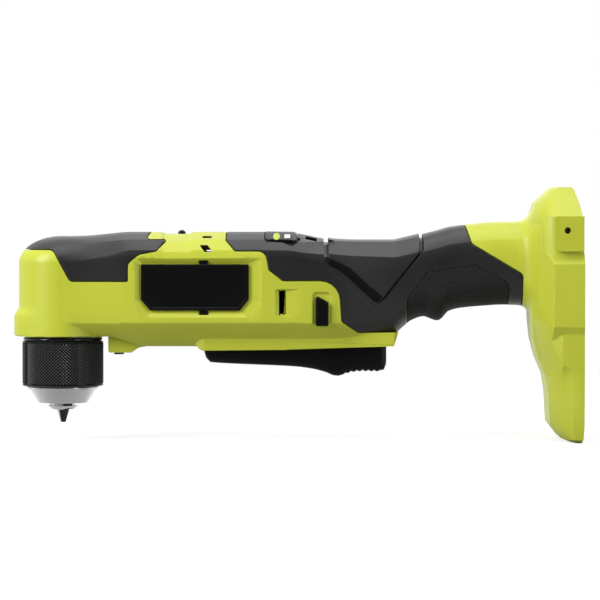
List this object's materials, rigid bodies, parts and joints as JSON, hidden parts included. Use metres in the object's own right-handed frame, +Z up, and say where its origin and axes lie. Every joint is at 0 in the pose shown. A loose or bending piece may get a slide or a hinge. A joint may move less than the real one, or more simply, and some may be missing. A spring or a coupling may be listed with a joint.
{
  "type": "right angle drill",
  "caption": "Cordless right angle drill: long two-tone body with a bevel head, keyless chuck, paddle trigger and an upright battery foot.",
  "frame": {"origin": "on the spindle axis, in the plane of the chuck's nose face where a bit enters", "axes": "+X from the spindle axis along the body to the battery foot, +Y across to the side with the housing screws, +Z up the spindle away from the bit"},
  "size_m": [0.2915, 0.072, 0.13],
  "materials": {
    "green_plastic": "fine moulded texture",
    "soft_grey": "soft matte",
    "grip_rubber": "fine raised grid",
    "black_plastic": "satin",
    "board": "satin",
    "lens": "clear",
    "copper": "drawn",
    "alloy": "cast",
    "steel": "machined",
    "bright_steel": "ground"
  },
  "bodies": {
    "housing": {"housing_left": "green_plastic", "housing_right": "green_plastic", "head_bumper": "soft_grey", "overmold_left": "soft_grey", "overmold_right": "soft_grey", "saddle_pad": "soft_grey", "grip_left": "grip_rubber", "grip_right": "grip_rubber", "nameplate_left": "black_plastic", "nameplate_right": "black_plastic", "collar_stud": "black_plastic", "trigger_pin": "steel", "trigger_spring": "steel", "switch_body": "black_plastic", "control_board": "board", "motor_leads": "copper", "battery_leads": "copper", "terminal_block": "black_plastic", "terminal_blades": "copper", "light_lens": "lens", "light_board": "board", "housing_screws": "steel", "gear_case": "alloy", "ring_gear": "steel", "gearbox_plate": "alloy", "stator_core": "steel", "stator_coils": "copper", "motor_end_plate": "black_plastic", "motor_front_bearing": "bright_steel", "motor_rear_bearing": "bright_steel", "pinion_bearing": "bright_steel", "spindle_bearing": "bright_steel", "spindle_bush": "copper", "bearing_retainer": "steel"},
    "spindle": {"spindle": "steel", "bevel_gear": "bright_steel", "chuck_body": "bright_steel", "chuck_back": "black_plastic", "chuck_screw": "steel"},
    "sleeve": {"chuck_sleeve": "black_plastic", "chuck_nut": "steel"},
    "jaw_a": {"jaw_1": "bright_steel"},
    "jaw_b": {"jaw_2": "bright_steel"},
    "jaw_c": {"jaw_3": "bright_steel"},
    "carrier": {"carrier": "steel", "planet_pins": "bright_steel", "bevel_pinion": "bright_steel"},
    "planet_a": {"planet_1": "bright_steel"},
    "planet_b": {"planet_2": "bright_steel"},
    "planet_c": {"planet_3": "bright_steel"},
    "rotor": {"motor_shaft": "bright_steel", "rotor": "steel", "fan": "black_plastic"},
    "trigger": {"trigger": "black_plastic"},
    "plunger": {"switch_plunger": "black_plastic"},
    "selector": {"selector": "black_plastic"},
    "mode_button": {"mode_button": "black_plastic"}
  },
  "joints": [
    {"name": "spindle_spin", "type": "hinge", "parent": "housing", "child": "spindle", "pos_m": [0, 0, 0], "axis": [0, 0, 1], "continuous": true},
    {"name": "carrier_spin", "type": "hinge", "parent": "housing", "child": "carrier", "pos_m": [0, 0, 0.063], "axis": [1, 0, 0], "continuous": true},
    {"name": "rotor_spin", "type": "hinge", "parent": "housing", "child": "rotor", "pos_m": [0, 0, 0.063], "axis": [1, 0, 0], "continuous": true},
    {"name": "planet_a_spin", "type": "hinge", "parent": "carrier", "child": "planet_a", "pos_m": [0.038, 0, 0.0525], "axis": [1, 0, 0], "continuous": true},
    {"name": "planet_b_spin", "type": "hinge", "parent": "carrier", "child": "planet_b", "pos_m": [0.038, 0.00909, 0.06825], "axis": [1, 0, 0], "continuous": true},
    {"name": "planet_c_spin", "type": "hinge", "parent": "carrier", "child": "planet_c", "pos_m": [0.038, -0.00909, 0.06825], "axis": [1, 0, 0], "continuous": true},
    {"name": "sleeve_turn", "type": "hinge", "parent": "spindle", "child": "sleeve", "pos_m": [0, 0, 0], "axis": [0, 0, 1], "range_deg": [0, 2520]},
    {"name": "jaw_a_slide", "type": "slide", "parent": "spindle", "child": "jaw_a", "axis": [0.1378, -0.2387, 0.9613], "range_m": [0, 0.0155]},
    {"name": "jaw_b_slide", "type": "slide", "parent": "spindle", "child": "jaw_b", "axis": [0.1378, 0.2387, 0.9613], "range_m": [0, 0.0155]},
    {"name": "jaw_c_slide", "type": "slide", "parent": "spindle", "child": "jaw_c", "axis": [-0.2756, 0, 0.9613], "range_m": [0, 0.0155]},
    {"name": "trigger_squeeze", "type": "hinge", "parent": "housing", "child": "trigger", "pos_m": [0.079, 0, 0.035], "axis": [0, -1, 0], "range_deg": [0, 4.5], "stiffness_Nm_per_rad": 5, "springref_deg": -2.86, "deforming": ["trigger_spring"]},
    {"name": "plunger_slide", "type": "slide", "parent": "housing", "child": "plunger", "axis": [0, 0, 1], "range_m": [0, 0.0056]},
    {"name": "selector_slide", "type": "slide", "parent": "housing", "child": "selector", "axis": [0, 1, 0], "range_m": [-0.0025, 0.0025]},
    {"name": "mode_press", "type": "slide", "parent": "housing", "child": "mode_button", "axis": [0, 0, -1], "range_m": [0, 0.0007], "stiffness_N_per_m": 1500, "springref_m": -0.0004}
  ],
  "couplings": [
    {"joint": "carrier_spin", "follows": "spindle_spin", "ratio": 2.5},
    {"joint": "rotor_spin", "follows": "spindle_spin", "ratio": 12.5},
    {"joint": "planet_a_spin", "follows": "spindle_spin", "ratio": -6.6667},
    {"joint": "planet_b_spin", "follows": "spindle_spin", "ratio": -6.6667},
    {"joint": "planet_c_spin", "follows": "spindle_spin", "ratio": -6.6667},
    {"joint": "jaw_a_slide", "follows": "sleeve_turn", "m_per_rad": 0.00035241},
    {"joint": "jaw_b_slide", "follows": "sleeve_turn", "m_per_rad": 0.00035241},
    {"joint": "jaw_c_slide", "follows": "sleeve_turn", "m_per_rad": 0.00035241},
    {"joint": "plunger_slide", "follows": "trigger_squeeze", "m_per_rad": 0.07}
  ]
}
